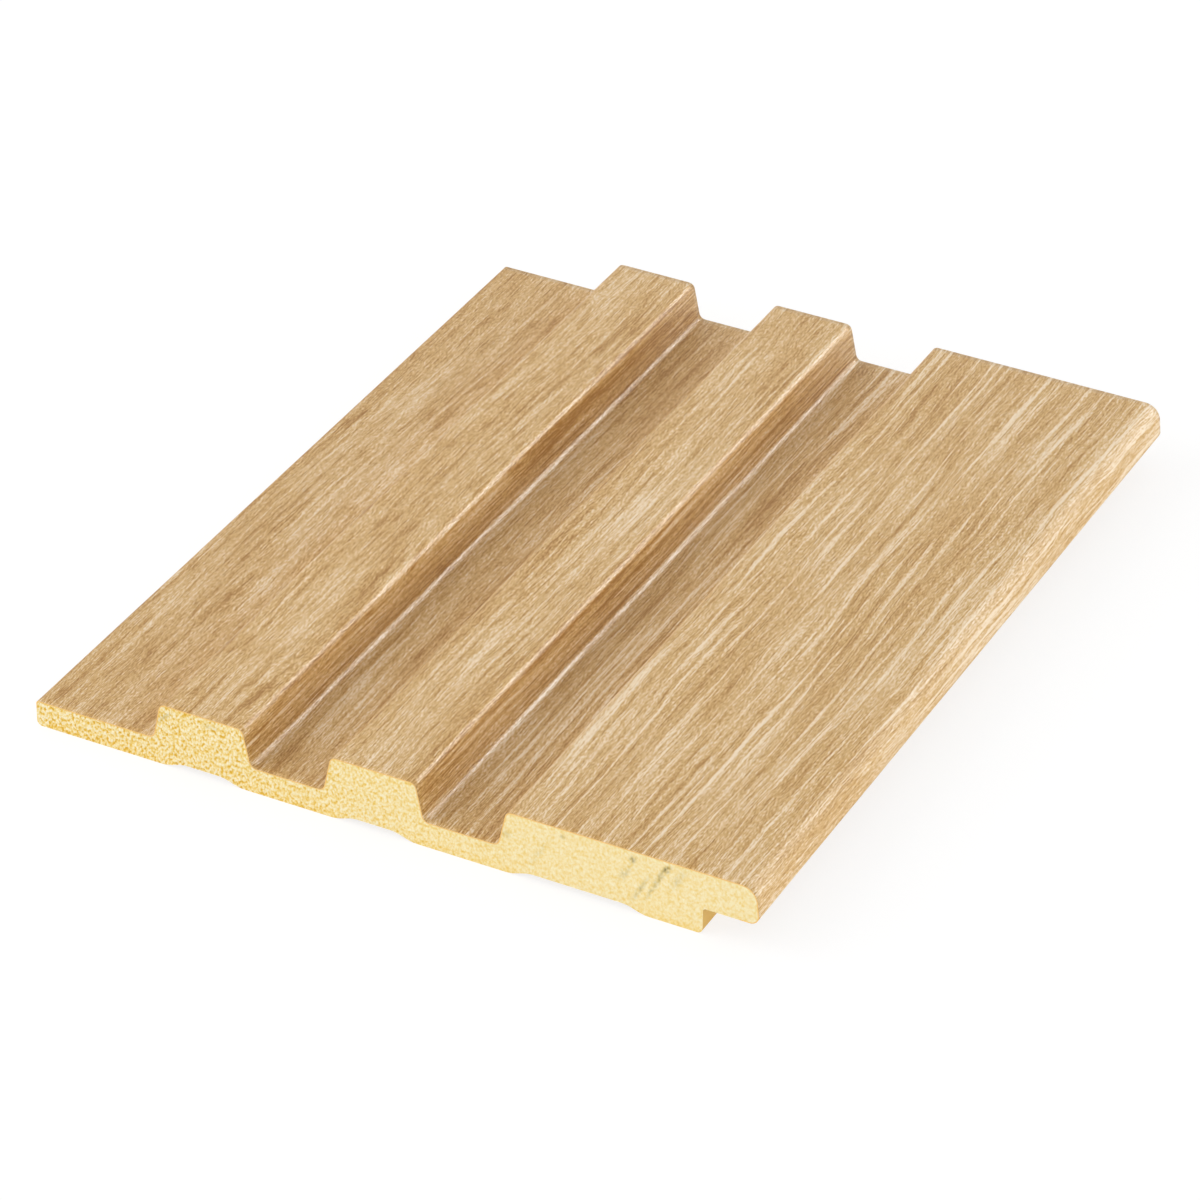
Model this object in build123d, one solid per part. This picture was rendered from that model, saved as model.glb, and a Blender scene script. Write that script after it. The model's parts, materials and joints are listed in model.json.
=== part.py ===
from build123d import *

import os

# Fluted interior wall panel, a short length with both ends cut square.
# A core of foamed polystyrene is extruded to the ribbed section, and a printed wood-grain film
# is wrapped over its face, from the edge of the flange to the underside of the lip.
# The lip of one panel covers part of the next panel's flange, so that the grooves stay evenly spaced.
# X runs across the ribs towards the lip, Y along them, and Z out of the wall.
# The origin is in the middle of the back, on the plane of the pads that are glued to the wall.

# Driving dimensions in millimetres: the section
panel_length = 166.0
panel_thickness = 12.0
web_thickness = 4.9
rib_count = 2
rib_top_width = 15.8
groove_floor_width = 13.7
wall_run = 1.5
flange_width = 23.0
field_top_width = 44.8

# Driving dimensions: the lip and its rebate
lip_reach = 10.0
lip_side_run = 0.7
lip_clearance = 0.1

# Driving dimensions: the shallow recesses in the back, under the thick stretches
recess_depth = 1.1
recess_inset = 0.8
recess_ramp = 3.2
last_pad_width = 10.5

# Driving dimensions: the film
film_thickness = 0.2
film_edge_wrap = 1.5
film_tuck = 3.5

# Driving dimensions: rounded corners
crest_radius = 1.3
valley_radius = 1.3
flange_top_radius = 0.5
flange_foot_radius = 1.0
lip_shoulder_radius = 3.0
lip_nose_radius = 1.6
rebate_corner_radius = 0.5
rebate_foot_radius = 1.0
recess_radius = 6.0

# Places across the section, measured from the flange's edge
rib_pitch = rib_top_width + 2 * wall_run + groove_floor_width
rib_lefts = [flange_width + wall_run + rib * rib_pitch for rib in range(rib_count)]
field_left = flange_width + wall_run + rib_count * rib_pitch
shoulder_x = field_left + field_top_width
overall_width = shoulder_x + lip_side_run
rebate_x = overall_width - lip_reach
lip_underside = web_thickness + lip_clearance


def face_corners():
    """The corners of the face as (x, z, radius), from the flange's edge to the lip's nose."""
    corners = [(0, web_thickness, flange_top_radius)]
    for left in rib_lefts:
        right = left + rib_top_width
        corners += [
            (left - wall_run, web_thickness, valley_radius),
            (left, panel_thickness, crest_radius),
            (right, panel_thickness, crest_radius),
            (right + wall_run, web_thickness, valley_radius),
        ]
    corners += [
        (field_left - wall_run, web_thickness, valley_radius),
        (field_left, panel_thickness, crest_radius),
        (shoulder_x, panel_thickness, lip_shoulder_radius),
        (overall_width, lip_underside, lip_nose_radius),
    ]
    return corners


def back_corners():
    """The corners of the back as (x, z, radius), from the rebate to the flange's foot."""
    mouths = [(left + recess_inset, left + rib_top_width - recess_inset) for left in rib_lefts]
    mouths.append((field_left + recess_inset, rebate_x - last_pad_width))
    corners = [
        (rebate_x, lip_underside, rebate_corner_radius),
        (rebate_x, 0, rebate_foot_radius),
    ]
    for left, right in reversed(mouths):
        corners += [
            (right, 0, recess_radius),
            (right - recess_ramp, recess_depth, recess_radius),
            (left + recess_ramp, recess_depth, recess_radius),
            (left, 0, recess_radius),
        ]
    corners.append((0, 0, flange_foot_radius))
    return corners


def points_of(corners):
    return [(x, z) for x, z, radius in corners]


def radii_of(corners):
    return [radius for x, z, radius in corners]


def panel_outline():
    """The whole section, film and core together."""
    corners = face_corners() + back_corners()
    return make_face(FilletPolyline(*points_of(corners), radius=radii_of(corners), close=True))


def film_strip():
    """The film's own section: a strip of even thickness just inside the face's outline."""
    corners = face_corners()
    edge_end = (0, web_thickness - film_edge_wrap)
    tucked_end = (overall_width - film_tuck, lip_underside)
    face_line = FilletPolyline(edge_end, *points_of(corners), tucked_end, radius=radii_of(corners))
    return make_face(face_line.offset_2d(film_thickness, side=Side.RIGHT))


def extruded(section, middle_x):
    """A section drawn in X and Z, with middle_x brought to the origin, drawn out along the length."""
    section_plane = Plane(origin=(-middle_x, 0, 0), x_dir=(1, 0, 0), z_dir=(0, -1, 0))
    return extrude(section_plane * section, amount=panel_length / 2, both=True)


outline = panel_outline()
middle_x = outline.bounding_box().center().X
film_section = film_strip()
core_section = outline - film_section

pieces = {
    "foam_core": extruded(core_section, middle_x),
    "decor_film": extruded(film_section, middle_x),
}

os.makedirs("parts", exist_ok=True)
for name, piece in pieces.items():
    export_step(piece, f"parts/{name}.step")
    print(f"{name}: {piece.volume / 1000:.2f} cm3, box {piece.bounding_box().size}")
print(f"cover width {rebate_x:.2f} mm, rib pitch {rib_pitch:.2f} mm, flange's edge at x {-middle_x:.3f} mm")
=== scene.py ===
# %% [markdown]
# A fluted wall panel, dressed for the camera.
# The panel is a strip of foamed polystyrene with a printed oak film wrapped over its face. The packed
# model already has the exact section, so this lesson adds what a section can't show: the open cells of
# the sawn ends, the embossed grain of the film, its print, and soft studio light.

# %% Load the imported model
import json
import math
from bisect import bisect_right
from collections import defaultdict, namedtuple

import bmesh
import bpy
from mathutils import Matrix, Vector, noise


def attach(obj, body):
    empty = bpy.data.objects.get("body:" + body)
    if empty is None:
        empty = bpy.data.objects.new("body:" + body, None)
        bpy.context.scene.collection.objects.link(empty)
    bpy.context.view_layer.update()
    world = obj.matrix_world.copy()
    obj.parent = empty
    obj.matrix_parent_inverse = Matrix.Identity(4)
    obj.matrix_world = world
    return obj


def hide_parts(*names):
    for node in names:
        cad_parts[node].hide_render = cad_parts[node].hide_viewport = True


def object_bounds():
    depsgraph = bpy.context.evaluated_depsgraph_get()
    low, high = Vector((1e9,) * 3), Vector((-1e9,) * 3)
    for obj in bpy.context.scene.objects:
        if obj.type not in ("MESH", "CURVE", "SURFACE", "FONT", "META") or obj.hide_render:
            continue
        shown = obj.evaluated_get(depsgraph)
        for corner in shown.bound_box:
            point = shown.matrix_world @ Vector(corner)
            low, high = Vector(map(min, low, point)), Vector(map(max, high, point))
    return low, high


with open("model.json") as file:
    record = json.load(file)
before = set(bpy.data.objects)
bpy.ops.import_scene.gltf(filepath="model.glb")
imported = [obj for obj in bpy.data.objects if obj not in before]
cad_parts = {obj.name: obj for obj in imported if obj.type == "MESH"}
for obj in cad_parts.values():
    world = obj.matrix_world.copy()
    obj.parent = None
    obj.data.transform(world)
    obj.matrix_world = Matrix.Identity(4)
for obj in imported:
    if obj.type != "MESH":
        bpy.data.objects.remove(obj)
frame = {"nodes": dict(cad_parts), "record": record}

MM = 0.001
cad_box = [list(corner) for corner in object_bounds()]
flange_edge_x, lip_edge_x = cad_box[0][0], cad_box[1][0]
near_y, far_y = cad_box[0][1], cad_box[1][1]
panel_length = far_y - near_y
mount_places = {mount["name"]: Vector(mount["pos_m"]) for mount in frame["record"]["mounts"]}
print("nodes:", sorted(frame["nodes"]), "length in mm:", round(panel_length / MM, 2))

# %% [markdown]
# Both pieces were drawn out along Y from one section, so the outline of a near end says everything
# about their shape. It could be typed in again as corners and radii, but then two files would have to
# agree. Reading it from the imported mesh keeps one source: the end's triangles are found, and the edges
# that belong to only one of them are chained into a loop.

# %% Read a section from the near end of a node
# Points nearer to each other than this count as one.
TOLERANCE = 0.001 * MM
# Decimals of a metre that count when corners are compared.
CORNER_DIGITS = 6


def near_end_outline(node_name):
    """The (x, z) points round a node's near end, from the lowest of its leftmost corners upwards."""
    bm = bmesh.new()
    bm.from_mesh(frame["nodes"][node_name].data)
    bmesh.ops.remove_doubles(bm, verts=bm.verts, dist=TOLERANCE)
    end_faces = {face for face in bm.faces if all(v.co.y < near_y + TOLERANCE for v in face.verts)}
    neighbours = defaultdict(list)
    for edge in bm.edges:
        if sum(face in end_faces for face in edge.link_faces) == 1:
            first, second = edge.verts
            neighbours[first].append(second)
            neighbours[second].append(first)
    start = min(neighbours, key=lambda v: (round(v.co.x, CORNER_DIGITS), v.co.z))
    loop = [start, max(neighbours[start], key=lambda v: v.co.z)]
    while True:
        onward = next(v for v in neighbours[loop[-1]] if v is not loop[-2])
        if onward is start:
            break
        loop.append(onward)
    points = [(v.co.x, v.co.z) for v in loop]
    bm.free()
    return points


film_loop = near_end_outline("decor_film")
foam_loop = near_end_outline("foam_core")
print("outline points: film", len(film_loop), "foam", len(foam_loop))

# %% [markdown]
# The film's outer line runs from the wrapped edge of the flange, over the ribs and the wide field, to
# the end tucked under the lip. A place on the film is then a distance along this line, which is also the
# place on the flat sheet before it was wrapped. The direction straight out of the surface is worked out
# at each point from its two neighbours and blended between points, so that rounded corners stay smooth.

# %% The film's outer line, measured along the sheet
lip_points = [p for p in film_loop if p[0] > mount_places["rebate_wall"].x]
tucked_end = film_loop.index(min(lip_points, key=lambda p: (round(p[1], CORNER_DIGITS), p[0])))
outer_line = [Vector(p) for p in film_loop[: tucked_end + 1]]
film_thickness = (Vector(film_loop[tucked_end + 1]) - outer_line[-1]).length

sheet_places = [0.0]
for here, there in zip(outer_line, outer_line[1:]):
    sheet_places.append(sheet_places[-1] + (there - here).length)
sheet_width = sheet_places[-1]


def outward_at(index):
    """The outward direction at a point of the outer line, halfway between those of its two runs."""
    before = outer_line[max(index - 1, 0)]
    point = outer_line[index]
    after = outer_line[min(index + 1, len(outer_line) - 1)]
    along = (point - before).normalized() + (after - point).normalized()
    return Vector((-along.y, along.x)).normalized()


outward = [outward_at(index) for index in range(len(outer_line))]


def on_section(place):
    """The (x, z) point and the outward direction at a distance along the sheet."""
    index = min(max(bisect_right(sheet_places, place) - 1, 0), len(outer_line) - 2)
    part = (place - sheet_places[index]) / (sheet_places[index + 1] - sheet_places[index])
    point = outer_line[index].lerp(outer_line[index + 1], part)
    return point, outward[index].lerp(outward[index + 1], part).normalized()


print("sheet in mm:", round(sheet_width / MM, 2), "thickness:", round(film_thickness / MM, 3))

# %% [markdown]
# Film of this kind is pressed between rollers that emboss the grain: long shallow furrows along the
# fibres. Bump alone would vanish from the mesh, so the furrows are real. Their depth comes from noise
# stretched along the panel: one set of broad furrows, and one of finer and shorter ones.

# %% The depth of the embossing
FURROW_DEPTH = 0.02 * MM
# Each set: the width and length of its furrows, and the slice of the noise that it reads.
FURROW_SETS = (
    (1.4 * MM, 26 * MM, 3.1),
    (0.6 * MM, 9 * MM, 7.7),
)
MEAN_FURROW, FURROW_SWING = 0.4, 0.5


def furrow(place, y):
    """How deep the embossing is at a place on the sheet, from 0 to 1."""
    swing = sum(
        noise.noise(Vector((place / width, y / length, noise_slice)))
        for width, length, noise_slice in FURROW_SETS
    )
    return min(max(MEAN_FURROW + FURROW_SWING * swing, 0.0), 1.0)


print("furrows are up to", round(FURROW_DEPTH / MM, 3), "mm deep")

# %% [markdown]
# The sheet is a fine grid, wrapped point by point over the section as the real film is, and each point is
# pressed in by its furrow. The relief only goes inwards, so the panel keeps its size. The flat place of
# each point stays behind as a UV map, which the print reads later: a print that followed X instead would
# smear down the groove walls. How steeply each point leans is kept as well, for the painted shade that
# the groove lines lay on the walls.

# %% The film as a wrapped, embossed sheet
COLUMN_PITCH = 0.25 * MM
ROW_PITCH = 1.25 * MM
SHEET_MAP = "flat_sheet"

columns = round(sheet_width / COLUMN_PITCH)
rows = round(panel_length / ROW_PITCH)
film_bm = bmesh.new()
film_bm.loops.layers.uv.new(SHEET_MAP)
# The grid starts as a square with sides of 1, from -0.5 to 0.5.
bmesh.ops.create_grid(film_bm, x_segments=columns, y_segments=rows, size=0.5, calc_uvs=True)
place_layer = film_bm.verts.layers.float.new("place")
steep_layer = film_bm.verts.layers.float.new("steep")
for vert in film_bm.verts:
    place = (vert.co.x + 0.5) * sheet_width
    y = vert.co.y * panel_length
    point, out = on_section(place)
    depth = 0.0 if vert.is_boundary else FURROW_DEPTH * furrow(place, y)
    point = point - out * depth
    vert.co = (point.x, y, point.y)
    vert[place_layer] = place
    vert[steep_layer] = 1 - out.y
printed_faces = len(film_bm.faces)
print("embossed grid:", columns, "columns,", rows, "rows,", printed_faces, "faces")

# %% [markdown]
# The sheet still has no thickness. Solidify would copy the whole fine grid to a side that nobody sees, so
# the rim is extruded inwards instead, by the film's thickness, and closed with one long strip per column.

# %% Give the film its thickness
PRINT_SLOT, CUT_SLOT = 0, 1


def at_an_end(vert):
    """True for a point on one of the panel's two sawn ends."""
    return abs(abs(vert.co.y) - panel_length / 2) < TOLERANCE


rim = bmesh.ops.extrude_edge_only(film_bm, edges=[e for e in film_bm.edges if e.is_boundary])
inner_verts = [item for item in rim["geom"] if isinstance(item, bmesh.types.BMVert)]
for vert in inner_verts:
    point, out = on_section(vert[place_layer])
    point = point - out * film_thickness
    vert.co = (point.x, vert.co.y, point.y)
bmesh.ops.dissolve_verts(film_bm, verts=[v for v in inner_verts if not at_an_end(v)])
inner_ends = [
    edge for edge in film_bm.edges
    if edge.is_boundary and abs(edge.verts[0].co.y - edge.verts[1].co.y) < TOLERANCE
]
bmesh.ops.bridge_loops(film_bm, edges=inner_ends)
bmesh.ops.recalc_face_normals(film_bm, faces=film_bm.faces)
film_bm.faces.index_update()
for face in film_bm.faces:
    face.smooth = face.index < printed_faces
    face.material_index = PRINT_SLOT if face.index < printed_faces else CUT_SLOT
print("open edges left on the film:", sum(not e.is_manifold for e in film_bm.edges))

# %% [markdown]
# A bmesh is only the workbench. Its result goes into a mesh, and an object puts that mesh in the scene, at
# the origin, because the points already hold their real places. Then the film is attached to the body it
# moves with, and the imported node that it replaces is hidden.

# %% Make the film an object


def add_object(name, bm):
    """A mesh object at the origin, in the scene, made from a bmesh that isn't needed afterwards."""
    mesh = bpy.data.meshes.new(name)
    bm.to_mesh(mesh)
    bm.free()
    piece = bpy.data.objects.new(name, mesh)
    bpy.context.scene.collection.objects.link(piece)
    return piece


film = add_object("oak_film", film_bm)
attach(film, "root")
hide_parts("decor_film")
film.data.calc_loop_triangles()
print("film triangles:", len(film.data.loop_triangles))

# %% [markdown]
# The saw opens the foam's cells, so an end is a field of small hollows. It gets points to move by slicing:
# one flat face with the section's outline is cut by rows of planes into a lattice with a pitch of a fifth
# of a millimetre, and the outline stays exact. Extruding that lattice along the panel gives the far end
# and the skin between them in one step.

# %% The foam core, with both ends sliced fine
LATTICE_PITCH = 0.2 * MM

foam_bm = bmesh.new()
hollow_layer = foam_bm.verts.layers.float.new("hollow")
rough_layer = foam_bm.verts.layers.float.new("rough")
stain_layer = foam_bm.verts.layers.float.new("stain")
foam_bm.faces.new([foam_bm.verts.new((x, near_y, z)) for x, z in foam_loop])
for axis in (Vector((1, 0, 0)), Vector((0, 0, 1))):
    low = min(vert.co.dot(axis) for vert in foam_bm.verts)
    high = max(vert.co.dot(axis) for vert in foam_bm.verts)
    for cut in range(1, math.ceil((high - low) / LATTICE_PITCH)):
        bmesh.ops.bisect_plane(
            foam_bm,
            geom=foam_bm.verts[:] + foam_bm.edges[:] + foam_bm.faces[:],
            dist=TOLERANCE,
            plane_co=axis * (low + cut * LATTICE_PITCH),
            plane_no=axis,
        )
near_end_verts = foam_bm.verts[:]
drawn = bmesh.ops.extrude_face_region(foam_bm, geom=foam_bm.faces[:], use_keep_orig=True)
far_end_verts = [item for item in drawn["geom"] if isinstance(item, bmesh.types.BMVert)]
bmesh.ops.translate(foam_bm, verts=far_end_verts, vec=(0, panel_length, 0))
bmesh.ops.recalc_face_normals(foam_bm, faces=foam_bm.faces)
print("foam faces:", len(foam_bm.faces), "open edges:", sum(not e.is_manifold for e in foam_bm.edges))

# %% [markdown]
# The hollows are deepest on the flange's side. Towards the lip the blade has drawn the cut smooth, so they
# get shallow there. A picture of foam would give the colour but no depth, so two noises work out a depth
# for any place on an end: one for the cells, a little taller than wide, and a finer one for their crumbs.

# %% How hollow and how rough the cut is
CELL_WIDTH, CELL_HEIGHT = 0.42 * MM, 0.56 * MM
CELL_WALL, CELL_BOTTOM = -0.35, 0.6
CRUMB_SIZE, CRUMB_SHARE, CRUMB_SLICE = 0.22 * MM, 0.35, 20
ROUGH_UNTIL_X, SMOOTH_FROM_X = -50 * MM, 42 * MM
SMOOTHEST = 0.28


def smooth_step(low, high, value):
    """0 up to low, 1 from high on, and a soft rise between them."""
    part = min(max((value - low) / (high - low), 0.0), 1.0)
    return part * part * (3 - 2 * part)


def hollow_at(x, z, noise_slice):
    """How deep the cut cells are at a place on an end, from 0 to 1."""
    cells = noise.noise(Vector((x / CELL_WIDTH, z / CELL_HEIGHT, noise_slice)))
    crumbs = noise.noise(Vector((x / CRUMB_SIZE, z / CRUMB_SIZE, noise_slice + CRUMB_SLICE)))
    return smooth_step(CELL_WALL, CELL_BOTTOM, cells + CRUMB_SHARE * crumbs)


def roughness_at(x):
    """How rough the cut is across the panel: 1 at the flange, less towards the lip."""
    return 1 - (1 - SMOOTHEST) * smooth_step(ROUGH_UNTIL_X, SMOOTH_FROM_X, x)


print("roughness at the flange and the lip:", roughness_at(flange_edge_x), roughness_at(lip_edge_x))

# %% [markdown]
# The near end has a little dirt on it: a few grey pits, and the smears that the blade drew from them. They
# could be painted by hand in texture paint, but a short list of soft ovals is easier to move about.

# %% Dirt on the near end
# Each mark: x from the flange's edge and z, half length and half width, all in mm, its lean in degrees and
# its strength.
STAINS = (
    (112.4, 10.3, 0.6, 0.4, 60, 0.95),
    (118.5, 10.4, 0.8, 0.45, 45, 0.95),
    (99.8, 10.5, 0.4, 0.3, 0, 0.5),
    (117.2, 8.4, 1.6, 0.45, 62, 0.42),
    (113.8, 5.0, 2.6, 0.4, 62, 0.34),
    (116.0, 5.7, 2.2, 0.35, 62, 0.3),
    (111.0, 7.2, 1.6, 0.6, 62, 0.25),
    (120.5, 9.0, 2.2, 0.7, 60, 0.2),
    (89.6, 7.6, 0.8, 0.7, 0, 0.22),
    (95.5, 6.0, 2.5, 0.6, 60, 0.12),
    (25.4, 9.7, 1.4, 0.35, 45, 0.4),
    (34.0, 10.5, 1.2, 0.5, 0, 0.2),
)
DIRT_COVER, DIRT_BREAKS, DIRT_SLICE = 0.8, 1.1, 40.0


def stain_at(x, z):
    """How dirty the near end is at a place, from 0 to 1: soft ovals, broken up by a noise."""
    dirt = 0.0
    for mark_x, mark_z, half_length, half_width, lean, strength in STAINS:
        right = (x - flange_edge_x) / MM - mark_x
        up = z / MM - mark_z
        turn = math.radians(lean)
        along = (right * math.cos(turn) + up * math.sin(turn)) / half_length
        across = (up * math.cos(turn) - right * math.sin(turn)) / half_width
        dirt += strength * math.exp(-along ** 2 - across ** 2)
    speckle = noise.noise(Vector((x / CELL_WIDTH, z / CELL_HEIGHT, DIRT_SLICE)))
    return min(max(dirt * (DIRT_COVER + DIRT_BREAKS * speckle), 0.0), 1.0)


print("marks on the near end:", len(STAINS))

# %% [markdown]
# Now each point of the two ends is pushed in by its own depth. The points on the outline stay where they
# are, so that the foam still meets the film. How hollow, rough and dirty each point is goes into
# attributes as well, because the material paints shade into the bottoms of the cells, deeper in colour
# than their broken walls.

# %% Press the cells into the ends
HOLLOW_DEPTH = 0.14 * MM
SKIN_SLOT, SAWN_SLOT = 0, 1
# For each end: its points, which way along Y goes into the foam, and its slice of the noise.
ENDS = ((near_end_verts, 1, 0.0), (far_end_verts, -1, 5.0))


def is_sawn(face):
    """True for a face that looks along the panel."""
    return abs(face.normal.y) > 0.5


skin_verts = {vert for face in foam_bm.faces if not is_sawn(face) for vert in face.verts}
for end_verts, inwards, noise_slice in ENDS:
    for vert in end_verts:
        hollow = hollow_at(vert.co.x, vert.co.z, noise_slice)
        rough = roughness_at(vert.co.x)
        vert[hollow_layer] = hollow
        vert[rough_layer] = rough
        if vert not in skin_verts:
            vert.co.y += inwards * HOLLOW_DEPTH * hollow * rough
for vert in near_end_verts:
    vert[stain_layer] = stain_at(vert.co.x, vert.co.z)
for face in foam_bm.faces:
    face.smooth = True
    face.material_index = SAWN_SLOT if is_sawn(face) else SKIN_SLOT
print("points on the ends:", len(near_end_verts) + len(far_end_verts), "kept still:", len(skin_verts))

# %% [markdown]
# Smooth shading lets the hollows run into each other, as in torn foam. The rim of an end and the corners
# of the skin are sharp on the real core, so edges that turn by more than an angle are marked sharp. Then
# the foam takes its place as the film did.

# %% Make the foam an object
SHARP_ANGLE = math.radians(62)

foam = add_object("sawn_foam", foam_bm)
foam.data.set_sharp_from_angle(angle=SHARP_ANGLE)
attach(foam, "root")
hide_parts("foam_core")
foam.data.calc_loop_triangles()
print("foam triangles:", len(foam.data.loop_triangles))

# %% [markdown]
# Materials are built from nodes. Colours are easiest to judge as the values a screen shows, so they are
# written as 0 to 255 and turned into the linear light values that shaders need, by the standard curve of
# screens. Two helpers keep the node code short: one adds a node and fills or links its inputs by name, and
# one starts a material.

# %% Helpers for colours and nodes


def screen_colour(red, green, blue):
    """Screen values from 0 to 255 as a linear colour with alpha."""
    parts = [value / 255 for value in (red, green, blue)]
    linear = [p / 12.92 if p <= 0.04045 else ((p + 0.055) / 1.055) ** 2.4 for p in parts]
    return (*linear, 1.0)


def set_input(tree, socket, value):
    """Links a socket to another one, or gives it a plain value."""
    if isinstance(value, bpy.types.NodeSocket):
        tree.links.new(value, socket)
    else:
        socket.default_value = value


def add_node(tree, kind, settings=None, **inputs):
    """A new node. Settings are its own options; inputs are sockets by name, with _ for a space."""
    node = tree.nodes.new(kind)
    for name, value in (settings or {}).items():
        setattr(node, name, value)
    for name, value in inputs.items():
        set_input(tree, node.inputs[name.replace("_", " ")], value)
    return node


def new_material(name):
    """A material with its node tree and its main shader."""
    material = bpy.data.materials.new(name)
    material.use_nodes = True
    return material, material.node_tree, material.node_tree.nodes["Principled BSDF"]


print("half grey on a screen, as light:", round(screen_colour(128, 128, 128)[0], 3))

# %% [markdown]
# Most patterns are sums: one value is scaled, another is added, and a ramp turns the total into colour.
# Four more helpers do these small steps, and each gives back the socket with the result. A Mix node has
# sockets for numbers, vectors and colours, of which only those of its own kind are switched on.

# %% Helpers that combine values


def combine(tree, operation, first, second, third=0.0):
    """The result of a math node."""
    node = add_node(tree, "ShaderNodeMath", {"operation": operation})
    for socket, value in zip(node.inputs, (first, second, third)):
        set_input(tree, socket, value)
    return node.outputs["Value"]


def map_range(tree, value, from_low, from_high, to_low, to_high):
    """Rescales a value and holds it between its two ends."""
    node = add_node(tree, "ShaderNodeMapRange", Value=value, From_Min=from_low, From_Max=from_high,
                    To_Min=to_low, To_Max=to_high)
    return node.outputs["Result"]


def mix(tree, kind, factor, base, over):
    """A mix of two numbers (FLOAT) or two colours (RGBA): base where factor is 0, over where it is 1."""
    node = add_node(tree, "ShaderNodeMix", {"data_type": kind})
    switched_on = [socket for socket in node.inputs if socket.enabled]
    for socket, value in zip(switched_on, (factor, base, over)):
        set_input(tree, socket, value)
    return next(socket for socket in node.outputs if socket.enabled)


def ramp(tree, factor, stops):
    """The colour of a ramp through (place, colour) stops."""
    node = add_node(tree, "ShaderNodeValToRGB", Fac=factor)
    elements = node.color_ramp.elements
    while len(elements) < len(stops):
        elements.new(0.5)
    for element, (place, colour) in zip(elements, stops):
        element.position = place
        element.color = colour
    return node.outputs["Color"]


# %% [markdown]
# The print imitates pale oak: a calm tan with cream streaks, fine pale and dark lines, fibres and flecks.
# A picture of oak could be laid on the sheet, but it would be one fixed plank. Here each layer is a noise,
# read on the flat sheet in millimetres and stretched along the grain by its own amount, so each can be set
# by itself. Streaks and lines are the tops or bottoms of their noise, with the rest cut off.

# %% The layers of the print
# Each layer: its size across and along the grain in mm, the noise where it starts and where it is full, its
# weight in the figure, and a shift that gives it a stretch of noise of its own. The two finest also have an
# angle in degrees: the noise's own grid is turned, so that its rows don't show as a weave.
Layer = namedtuple("Layer", "across along start full weight shift grid_turn", defaults=(0.0,))
ALL_OVER = {
    "tone": Layer(8.0, 60.0, 0.25, 0.75, 0.22, 0.0),
    "pale_lines": Layer(0.8, 30.0, 0.50, 0.68, 0.18, 11.0),
    "dark_lines": Layer(0.9, 35.0, 0.47, 0.30, -0.20, 22.0),
    "fibres": Layer(0.2, 4.0, 0.25, 0.75, 0.46, 33.0, 35.0),
    "flecks": Layer(0.2, 0.8, 0.25, 0.75, 0.54, 44.0, 35.0),
}
STREAKS = Layer(0.9, 60.0, 0.55, 0.70, 0.38, 67.0)
SMUDGES = Layer(2.5, 9.0, 0.42, 0.25, -0.25, 83.0)
# Dark lines that count only in the grooves: partly print, and partly painted shade on the groove walls and
# floors.
GROOVE_LINES_AND_SHADE = Layer(0.5, 90.0, 0.56, 0.36, -0.42, 97.0)
# A shift moves this much along the grain for each unit across it.
SHIFT_ALONG = 1.7
# How much finer a noise's detail is than its main waves: no whole number, so that they don't line up.
FINER_BY = 2.37


def grain(tree, sheet, across, along, shift, grid_turn=0.0):
    """Noise stretched along the grain, from 0 to 1."""
    placed = add_node(tree, "ShaderNodeMapping", Vector=sheet, Location=(shift, shift * SHIFT_ALONG, 0.0),
                      Rotation=(0.0, 0.0, math.radians(grid_turn)), Scale=(1 / across, 1 / along, 1.0))
    texture = add_node(tree, "ShaderNodeTexNoise", {"noise_dimensions": "2D"},
                       Vector=placed.outputs["Vector"], Scale=1.0, Detail=1.0, Lacunarity=FINER_BY)
    return texture.outputs["Fac"]


def print_layer(tree, sheet, layer):
    """What one layer adds to the figure: nothing where it starts, its whole weight where it is full."""
    amount = grain(tree, sheet, layer.across, layer.along, layer.shift, layer.grid_turn)
    return map_range(tree, amount, layer.start, layer.full, 0.0, layer.weight)


print("layers all over the sheet:", ", ".join(ALL_OVER))

# %% [markdown]
# Wood grain never runs dead straight, so the place on the sheet is first pushed sideways, by a slow drift
# and by a quicker waver. The straight place is kept too, for what belongs to a fixed part of the panel.

# %% Places on the sheet
# Each drift: its size across and along the grain, how far it pushes, all in mm, and its shift.
Drift = namedtuple("Drift", "across along push shift")
DRIFTS = (
    Drift(22.0, 90.0, 4.0, 5.0),
    Drift(4.0, 16.0, 0.8, 8.0),
)


def vector_math(tree, operation, first, second):
    """The result of a vector math node."""
    node = add_node(tree, "ShaderNodeVectorMath", {"operation": operation})
    for socket, value in zip(node.inputs, (first, second)):
        set_input(tree, socket, value)
    return node.outputs["Vector"]


def sheet_in_mm(tree):
    """The place on the flat sheet in millimetres, straight and with the grain's sideways drift."""
    flat = add_node(tree, "ShaderNodeUVMap", {"uv_map": SHEET_MAP}).outputs["UV"]
    straight = vector_math(tree, "MULTIPLY", flat, (sheet_width / MM, panel_length / MM, 0.0))
    sideways = 0.0
    for drift in DRIFTS:
        wave = grain(tree, straight, drift.across, drift.along, drift.shift)
        sideways = combine(tree, "MULTIPLY_ADD", wave, drift.push, sideways)
    pushed = add_node(tree, "ShaderNodeCombineXYZ", X=sideways).outputs["Vector"]
    return straight, vector_math(tree, "ADD", straight, pushed)


print("grain drifts sideways by up to", sum(drift.push for drift in DRIFTS), "mm")
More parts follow.
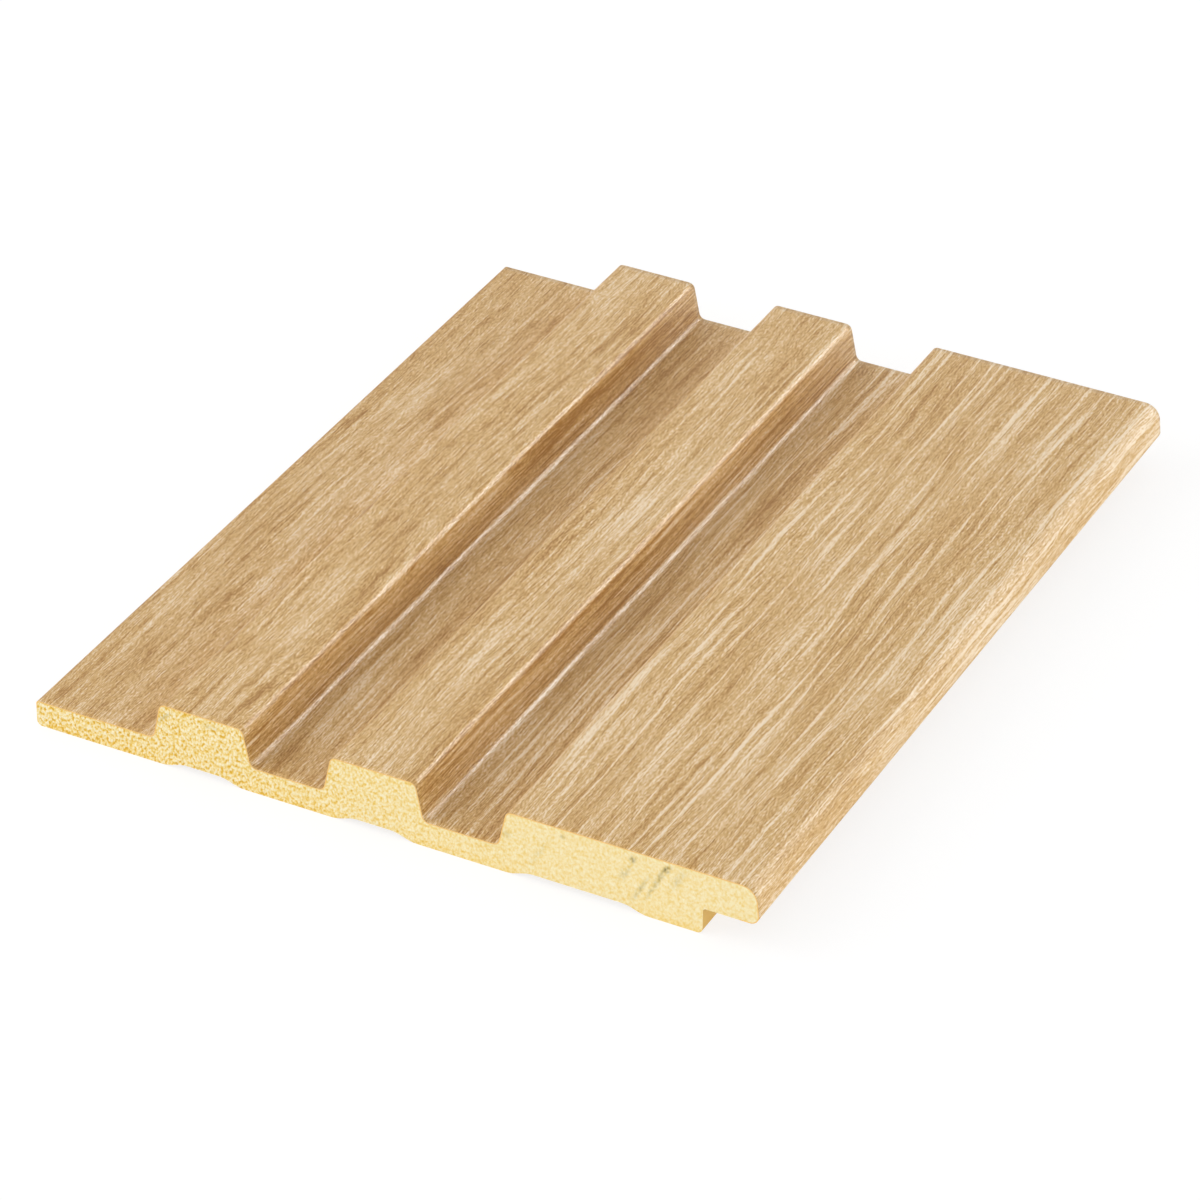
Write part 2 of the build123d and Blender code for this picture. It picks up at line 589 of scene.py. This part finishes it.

# %% [markdown]
# All layers are added up by weight into one value, the figure. Some count only in places. The wide field
# has the most cream streaks. The flange has fewer of them, and has smudges as well. Straight dark lines lie
# on the walls of the grooves and, fainter, on their floors: partly print, and partly painted shade that
# darkens the grooves. The film is darker where it is bent down over the flange's edge, which is painted
# shade, and a little paler on the lip, which is painted light on the lip's side.

# %% The figure of the oak
# Places across the flat sheet, in mm from the end that is wrapped over the flange's edge.
EDGE_UNTIL, FACE_FROM = 1.0, 2.0
GROOVES_FROM, GROOVES_UNTIL = 30.0, 110.0
FEW_STREAKS_AT, MANY_STREAKS_AT = 50.0, 110.0
LIP_FROM, LIP_FULL = 154.0, 158.0
# The figure before any layer, how far painted shade darkens it at the flange's edge, and how far painted
# light lifts it on the lip.
PLAIN_FIGURE, EDGE_PAINTED_SHADE, LIP_PAINTED_LIGHT = -0.11, 0.45, 0.08
# The share of the streaks that the flange keeps.
FEWEST_STREAKS = 0.3
# The floors of the grooves lie below this height, and show this share of the groove lines and their painted
# shade.
FLOOR_HEIGHT, FLOOR_SHARE = 5.2 * MM, 0.32


def groove_lines_and_shade_share(tree, across):
    """How far the groove lines and their painted shade count: by the slope on the walls, less on the
    floors, nowhere else.
    """
    steep = add_node(tree, "ShaderNodeAttribute", {"attribute_name": "steep"}).outputs["Fac"]
    place = add_node(tree, "ShaderNodeTexCoord").outputs["Object"]
    height = add_node(tree, "ShaderNodeSeparateXYZ", Vector=place).outputs["Z"]
    on_floors = combine(tree, "MULTIPLY", combine(tree, "LESS_THAN", height, FLOOR_HEIGHT), FLOOR_SHARE)
    share = combine(tree, "MAXIMUM", steep, on_floors)
    share = combine(tree, "MULTIPLY", share, combine(tree, "GREATER_THAN", across, GROOVES_FROM))
    return combine(tree, "MULTIPLY", share, combine(tree, "LESS_THAN", across, GROOVES_UNTIL))


def oak_figure(tree, straight, drifted, across, on_lip, all_over):
    """The sum of the layers: near 0 where the oak is darkest and near 1 where it is palest."""
    plenty = map_range(tree, across, FEW_STREAKS_AT, MANY_STREAKS_AT, FEWEST_STREAKS, 1.0)
    # On the lip the figure is lifted by painted light on the lip's side.
    # The groove lines are partly print and partly painted shade in the grooves.
    in_places = (
        (print_layer(tree, drifted, STREAKS), plenty),
        (print_layer(tree, drifted, SMUDGES), combine(tree, "SUBTRACT", 1.0, plenty)),
        (print_layer(tree, straight, GROOVE_LINES_AND_SHADE), groove_lines_and_shade_share(tree, across)),
        (LIP_PAINTED_LIGHT, on_lip),
    )
    # The film bent over the flange's edge starts darker: painted shade.
    figure = map_range(tree, across, EDGE_UNTIL, FACE_FROM, PLAIN_FIGURE - EDGE_PAINTED_SHADE, PLAIN_FIGURE)
    for amount, share in in_places:
        figure = combine(tree, "MULTIPLY_ADD", amount, share, figure)
    for amount in all_over.values():
        figure = combine(tree, "ADD", figure, amount)
    return figure


print("sheet round the lip in mm:", round(sheet_width / MM - LIP_FROM, 2))

# %% [markdown]
# A ramp turns the figure into colour, from brown through tan to cream. The rollers press the dark lines in
# and leave the fibres proud, so the same layers give a fine bump, and the raised parts are a little
# glossier. The lip is a little duller than the rest.

# %% The oak print
OAK = (
    (0.0, screen_colour(160, 110, 42)),
    (0.3, screen_colour(191, 147, 82)),
    (0.5, screen_colour(208, 167, 104)),
    (0.7, screen_colour(223, 190, 139)),
    (1.0, screen_colour(243, 222, 192)),
)
PRESSED_IN, STANDING_PROUD = -0.1, 0.5
PRESSED_ROUGHNESS, PROUD_ROUGHNESS, LIP_DULLER = 0.4, 0.27, 0.22
OAK_SPECULAR = 0.42
OAK_BUMP, OAK_BUMP_HEIGHT = 0.6, 0.1 * MM


def oak_print():
    """The face of the film: its colour, gloss and fine bump."""
    material, tree, shader = new_material("oak_print")
    straight, drifted = sheet_in_mm(tree)
    across = add_node(tree, "ShaderNodeSeparateXYZ", Vector=straight).outputs["X"]
    on_lip = map_range(tree, across, LIP_FROM, LIP_FULL, 0.0, 1.0)
    all_over = {name: print_layer(tree, drifted, layer) for name, layer in ALL_OVER.items()}
    figure = oak_figure(tree, straight, drifted, across, on_lip, all_over)
    tree.links.new(ramp(tree, figure, OAK), shader.inputs["Base Color"])

    proud = combine(tree, "ADD", all_over["fibres"], all_over["pale_lines"])
    proud = combine(tree, "ADD", proud, all_over["dark_lines"])
    satin = map_range(tree, proud, PRESSED_IN, STANDING_PROUD, PRESSED_ROUGHNESS, PROUD_ROUGHNESS)
    tree.links.new(combine(tree, "MULTIPLY_ADD", on_lip, LIP_DULLER, satin), shader.inputs["Roughness"])
    relief = add_node(tree, "ShaderNodeBump", Strength=OAK_BUMP, Distance=OAK_BUMP_HEIGHT, Height=proud)
    tree.links.new(relief.outputs["Normal"], shader.inputs["Normal"])
    shader.inputs["Specular IOR Level"].default_value = OAK_SPECULAR
    return material


film.data.materials.append(oak_print())
print("oak print:", len(film.data.materials[PRINT_SLOT].node_tree.nodes), "nodes")

# %% [markdown]
# Where the film is cut, its own plastic shows: a thin line of warm tan along the top of each end. It takes
# a little mottling so that it doesn't read as drawn with a ruler.

# %% The film's cut edge
PLASTIC_DARK, PLASTIC_PALE = screen_colour(224, 172, 88), screen_colour(243, 203, 124)
PLASTIC_ROUGHNESS = 0.55
MOTTLES_PER_METRE = 900.0


def film_plastic():
    """The bare plastic of the film."""
    material, tree, shader = new_material("film_plastic")
    place = add_node(tree, "ShaderNodeTexCoord").outputs["Object"]
    mottle = add_node(tree, "ShaderNodeTexNoise", Vector=place, Scale=MOTTLES_PER_METRE, Detail=2.0)
    colour = mix(tree, "RGBA", mottle.outputs["Fac"], PLASTIC_DARK, PLASTIC_PALE)
    tree.links.new(colour, shader.inputs["Base Color"])
    shader.inputs["Roughness"].default_value = PLASTIC_ROUGHNESS
    return material


film.data.materials.append(film_plastic())
print("film finishes:", [material.name for material in film.data.materials])

# %% [markdown]
# The skin between the ends was never cut: it cooled against the die, so it is smoother and a little deeper
# in colour than the sawn foam, with faint lines along the panel. Its colours are darker still, as painted
# shade for the skin that shows in the notch under the lip. A noise that is stretched along Y draws the
# lines.

# %% The foam's skin
# Both colours are darkened as painted shade, for the skin in the notch under the lip.
SKIN_SHADED_DARK, SKIN_SHADED_PALE = screen_colour(205, 164, 80), screen_colour(224, 188, 106)
SKIN_ROUGHNESS = 0.6
SKIN_STRETCH = (1.0, 0.03, 1.0)
SKIN_LINES_PER_METRE = 900.0
SKIN_BUMP, SKIN_BUMP_HEIGHT = 0.3, 0.05 * MM


def foam_skin_painted_shade():
    """The skin of the foam, as it left the die, darkened with painted shade."""
    material, tree, shader = new_material("foam_skin_painted_shade")
    place = add_node(tree, "ShaderNodeTexCoord").outputs["Object"]
    stretched = add_node(tree, "ShaderNodeMapping", Vector=place, Scale=SKIN_STRETCH).outputs["Vector"]
    lines = add_node(tree, "ShaderNodeTexNoise", Vector=stretched, Scale=SKIN_LINES_PER_METRE, Detail=3.0)
    colour = mix(tree, "RGBA", lines.outputs["Fac"], SKIN_SHADED_DARK, SKIN_SHADED_PALE)
    tree.links.new(colour, shader.inputs["Base Color"])
    relief = add_node(tree, "ShaderNodeBump", Strength=SKIN_BUMP, Distance=SKIN_BUMP_HEIGHT,
                      Height=lines.outputs["Fac"])
    tree.links.new(relief.outputs["Normal"], shader.inputs["Normal"])
    shader.inputs["Roughness"].default_value = SKIN_ROUGHNESS
    return material


foam.data.materials.append(foam_skin_painted_shade())
print("foam skin:", len(foam.data.materials[SKIN_SLOT].node_tree.nodes), "nodes")

# %% [markdown]
# Sawn foam is pale yellow, and cream where a bubble's wall is torn. The ochre in the bottoms of the cells
# is painted shade. Bubbles from a Voronoi texture, the hollow attribute and a fine grit are added up into
# a depth for the ramp, which turns deeper places into painted shade, and the rough attribute says how far
# they count. Wider blotches and a deeper rim along the back keep the end from looking even. The dirt goes
# over it all.

# %% The sawn ends
# From the foam's own pale yellow and cream to ochre, which is painted shade in the bottoms of the cells.
FOAM_AND_CELL_SHADE = (
    (0.0, screen_colour(240, 229, 199)),
    (0.15, screen_colour(238, 224, 181)),
    (0.5, screen_colour(233, 208, 140)),
    (0.85, screen_colour(225, 188, 86)),
    (1.0, screen_colour(215, 169, 56)),
)
DIRT = screen_colour(118, 104, 56)
FOAM_ROUGHNESS, FOAM_SPECULAR = 0.8, 0.25
# Above 1 narrows the bubbles along that axis, below 1 makes them longer: they are taller than wide.
BUBBLE_SIZE, BUBBLE_STRETCH = 0.4 * MM, (1.15, 1.0, 0.85)
HOLLOW_SHARE, CELL_LEVEL = 0.85, -0.82
GRIT_PER_METRE, GRIT_SHARE = 4200.0, 0.6
NOISE_MIDDLE = 0.5
SMOOTH_DEPTH, ROUGH_DEPTH = 0.33, 0.47
BLOTCH_SIZE, BLOTCH_DEPTH = 1.0 * MM, 0.24
BLOTCH_LOW, BLOTCH_HIGH = 0.2, 0.8
RIM_DEPTH, RIM_HEIGHT = 0.2, 1.6 * MM


def noise_value(tree, place, scale, detail):
    """Noise from 0 to 1, with about scale spots to the metre."""
    return add_node(tree, "ShaderNodeTexNoise", Vector=place, Scale=scale, Detail=detail).outputs["Fac"]


def foam_cell_shade(tree, place, hollow):
    """Painted shade of the cells: above 0 where they look deep, below 0 where they look torn and pale."""
    tall = add_node(tree, "ShaderNodeMapping", Vector=place, Scale=BUBBLE_STRETCH).outputs["Vector"]
    bubbles = add_node(tree, "ShaderNodeTexVoronoi", Vector=tall, Scale=1 / BUBBLE_SIZE).outputs["Distance"]
    grit = combine(tree, "SUBTRACT", noise_value(tree, place, GRIT_PER_METRE, 1.0), NOISE_MIDDLE)
    cells = combine(tree, "ADD", bubbles, combine(tree, "MULTIPLY_ADD", hollow, HOLLOW_SHARE, CELL_LEVEL))
    return combine(tree, "MULTIPLY_ADD", grit, GRIT_SHARE, cells)


def sawn_foam():
    """The foam where it was sawn, with its dirt."""
    material, tree, shader = new_material("sawn_foam")
    place = add_node(tree, "ShaderNodeTexCoord").outputs["Object"]
    hollow, rough, stain = [
        add_node(tree, "ShaderNodeAttribute", {"attribute_name": name}).outputs["Fac"]
        for name in ("hollow", "rough", "stain")
    ]
    height = add_node(tree, "ShaderNodeSeparateXYZ", Vector=place).outputs["Z"]
    blotches = noise_value(tree, place, 1 / BLOTCH_SIZE, 2.0)
    depth = map_range(tree, rough, SMOOTHEST, 1.0, SMOOTH_DEPTH, ROUGH_DEPTH)
    depth = combine(tree, "ADD", depth, map_range(tree, height, 0.0, RIM_HEIGHT, RIM_DEPTH, 0.0))
    depth = combine(tree, "ADD", depth,
                    map_range(tree, blotches, BLOTCH_LOW, BLOTCH_HIGH, -BLOTCH_DEPTH, BLOTCH_DEPTH))
    # The cells' depth becomes painted shade through the ramp.
    depth = combine(tree, "MULTIPLY_ADD", foam_cell_shade(tree, place, hollow), rough, depth)
    colour = mix(tree, "RGBA", stain, ramp(tree, depth, FOAM_AND_CELL_SHADE), DIRT)
    tree.links.new(colour, shader.inputs["Base Color"])
    shader.inputs["Roughness"].default_value = FOAM_ROUGHNESS
    shader.inputs["Specular IOR Level"].default_value = FOAM_SPECULAR
    return material


foam.data.materials.append(sawn_foam())
print("foam finishes:", [material.name for material in foam.data.materials])

# %% [markdown]
# The panel lies on its back on a white table. For light that bounces, the table is plain white paint. The
# camera sees a grey paint with a white glow added instead: the glow lifts the table to white, and the grey
# still darkens where the panel's soft shadow falls.

# %% Floor
FLOOR_REACH, FLOOR_GAP = 3.0, 0.02 * MM
WHITE_PAINT, GREY_PAINT, TABLE_GLOW = 0.9, 0.24, 0.8

floor_bm = bmesh.new()
bmesh.ops.create_grid(floor_bm, x_segments=1, y_segments=1, size=FLOOR_REACH)
bmesh.ops.translate(floor_bm, verts=floor_bm.verts, vec=(0, 0, -FLOOR_GAP))
floor = add_object("floor", floor_bm)


def grey(level):
    """A colour without any hue, with alpha."""
    return (level, level, level, 1.0)


def seen_directly(tree):
    """1 for light that reaches the camera straight, in a reflection or through something clear."""
    rays = add_node(tree, "ShaderNodeLightPath")
    seen = combine(tree, "MAXIMUM", rays.outputs["Is Camera Ray"], rays.outputs["Is Glossy Ray"])
    return combine(tree, "MAXIMUM", seen, rays.outputs["Is Transmission Ray"])


def table_white():
    """White paint for bounced light, and a glowing grey for the camera."""
    material, tree, shader = new_material("table_white")
    tree.nodes.remove(shader)
    bounced = add_node(tree, "ShaderNodeBsdfDiffuse", Color=grey(WHITE_PAINT))
    paint = add_node(tree, "ShaderNodeBsdfDiffuse", Color=grey(GREY_PAINT))
    glow = add_node(tree, "ShaderNodeEmission", Color=grey(1.0), Strength=TABLE_GLOW)
    seen = tree.nodes.new("ShaderNodeAddShader")
    for socket, part in zip(seen.inputs, (paint, glow)):
        tree.links.new(part.outputs[0], socket)
    chosen = tree.nodes.new("ShaderNodeMixShader")
    for socket, part in zip(chosen.inputs, (seen_directly(tree), bounced.outputs[0], seen.outputs[0])):
        tree.links.new(part, socket)
    tree.links.new(chosen.outputs[0], tree.nodes["Material Output"].inputs["Surface"])
    return material


floor.data.materials.append(table_white())
print("floor:", 2 * FLOOR_REACH, "m wide")

# %% [markdown]
# The light is a white tent, brighter at its sides than at its top. Grooves see little of the sides, so they
# come out deeper and warmer than the tops. One tent of even light would be simpler, but the grooves would
# look flat in it. To the camera, and in reflections, the tent is plain white.

# %% World
TENT_SIDE, TENT_TOP = 2.2, 0.6
# The upward part of a direction: up to SIDE_UNTIL it points at a side, and from TOP_FROM on at the top.
SIDE_UNTIL, TOP_FROM = 0.1, 0.5

world = bpy.data.worlds.new("white_tent")
world.use_nodes = True
tent_tree = world.node_tree
direction = add_node(tent_tree, "ShaderNodeTexCoord").outputs["Generated"]
upward = add_node(tent_tree, "ShaderNodeSeparateXYZ", Vector=direction).outputs["Z"]
lighting = map_range(tent_tree, upward, SIDE_UNTIL, TOP_FROM, TENT_SIDE, TENT_TOP)
strength = mix(tent_tree, "FLOAT", seen_directly(tent_tree), lighting, 1.0)
tent = tent_tree.nodes["Background"]
tent.inputs["Color"].default_value = grey(1.0)
tent_tree.links.new(strength, tent.inputs["Strength"])
bpy.context.scene.world = world
print("tent:", TENT_SIDE, "at the sides,", TENT_TOP, "at the top")

# %% [markdown]
# Three soft panels add to the tent. The key panel, at the front left, lights the tops and the sawn end. A
# low strip on the right lights the side of the lip. The faintly cool one, behind on the right, is there
# only for its reflection, which draws the pale lines along the rounded crests and feet, so its diffuse
# light is switched off.

# %% Lamps
FAINTLY_COOL = (0.96, 0.98, 1.0)
# The power that gives a lamp of one square metre a radiance of 1.
POWER_FOR_ONE = 4


def soft_panel(name, azimuth, elevation, distance, width, height, radiance, colour=(1.0, 1.0, 1.0)):
    """An area lamp that faces the origin, placed by degrees from +X towards +Y and up, and by metres.

    Its radiance is in the same unit as the tent's strength.
    """
    lamp_data = bpy.data.lights.new(name, "AREA")
    lamp_data.shape = "RECTANGLE"
    lamp_data.size, lamp_data.size_y = width, height
    lamp_data.energy = POWER_FOR_ONE * width * height * radiance
    lamp_data.color = colour
    lamp = bpy.data.objects.new(name, lamp_data)
    turn, rise = math.radians(azimuth), math.radians(elevation)
    towards = Vector((math.cos(turn) * math.cos(rise), math.sin(turn) * math.cos(rise), math.sin(rise)))
    facing = towards.to_track_quat("Z", "Y").to_matrix().to_4x4()
    lamp.matrix_world = Matrix.Translation(distance * towards) @ facing
    bpy.context.scene.collection.objects.link(lamp)
    return lamp


key_panel = soft_panel(
    "key_panel", azimuth=-150, elevation=40, distance=1.2, width=0.9, height=0.7, radiance=1.6)
side_strip = soft_panel(
    "side_strip", azimuth=8, elevation=2.6, distance=0.8, width=1.0, height=0.07, radiance=3.0)
reflector = soft_panel(
    "reflector", azimuth=57, elevation=30, distance=1.0, width=0.5, height=0.55, radiance=7.0,
    colour=FAINTLY_COOL)
reflector.visible_diffuse = False
print("lamps in W:", [round(lamp.data.energy, 2) for lamp in (key_panel, side_strip, reflector)])

# %% [markdown]
# The camera stands where a long lens would, a little to the right of the panel and above it. Its place
# comes from the direction of view, and a short slide along the picture plane frames the panel.

# %% Camera
AZIMUTH, ELEVATION, ROLL = math.radians(27.134), math.radians(33.353), math.radians(0.474)
DISTANCE = 933.4 * MM
SLIDE_RIGHT, SLIDE_UP = -3.392 * MM, -1.954 * MM
FOCAL_LENGTH_MM = 159.98

forward = Vector((
    -math.sin(AZIMUTH) * math.cos(ELEVATION),
    math.cos(AZIMUTH) * math.cos(ELEVATION),
    -math.sin(ELEVATION),
))
level_right = Vector((math.cos(AZIMUTH), math.sin(AZIMUTH), 0.0))
level_up = level_right.cross(forward)
right = math.cos(ROLL) * level_right + math.sin(ROLL) * level_up
up = math.cos(ROLL) * level_up - math.sin(ROLL) * level_right
stand = SLIDE_RIGHT * right + SLIDE_UP * up - DISTANCE * forward

camera_data = bpy.data.cameras.new("camera")
camera_data.lens = FOCAL_LENGTH_MM
camera = bpy.data.objects.new("camera", camera_data)
camera.matrix_world = Matrix.Translation(stand) @ Matrix((right, up, -forward)).transposed().to_4x4()
bpy.context.scene.collection.objects.link(camera)
bpy.context.scene.camera = camera
bpy.context.scene.view_settings.view_transform = "Standard"
print("camera at", [round(value, 3) for value in stand])
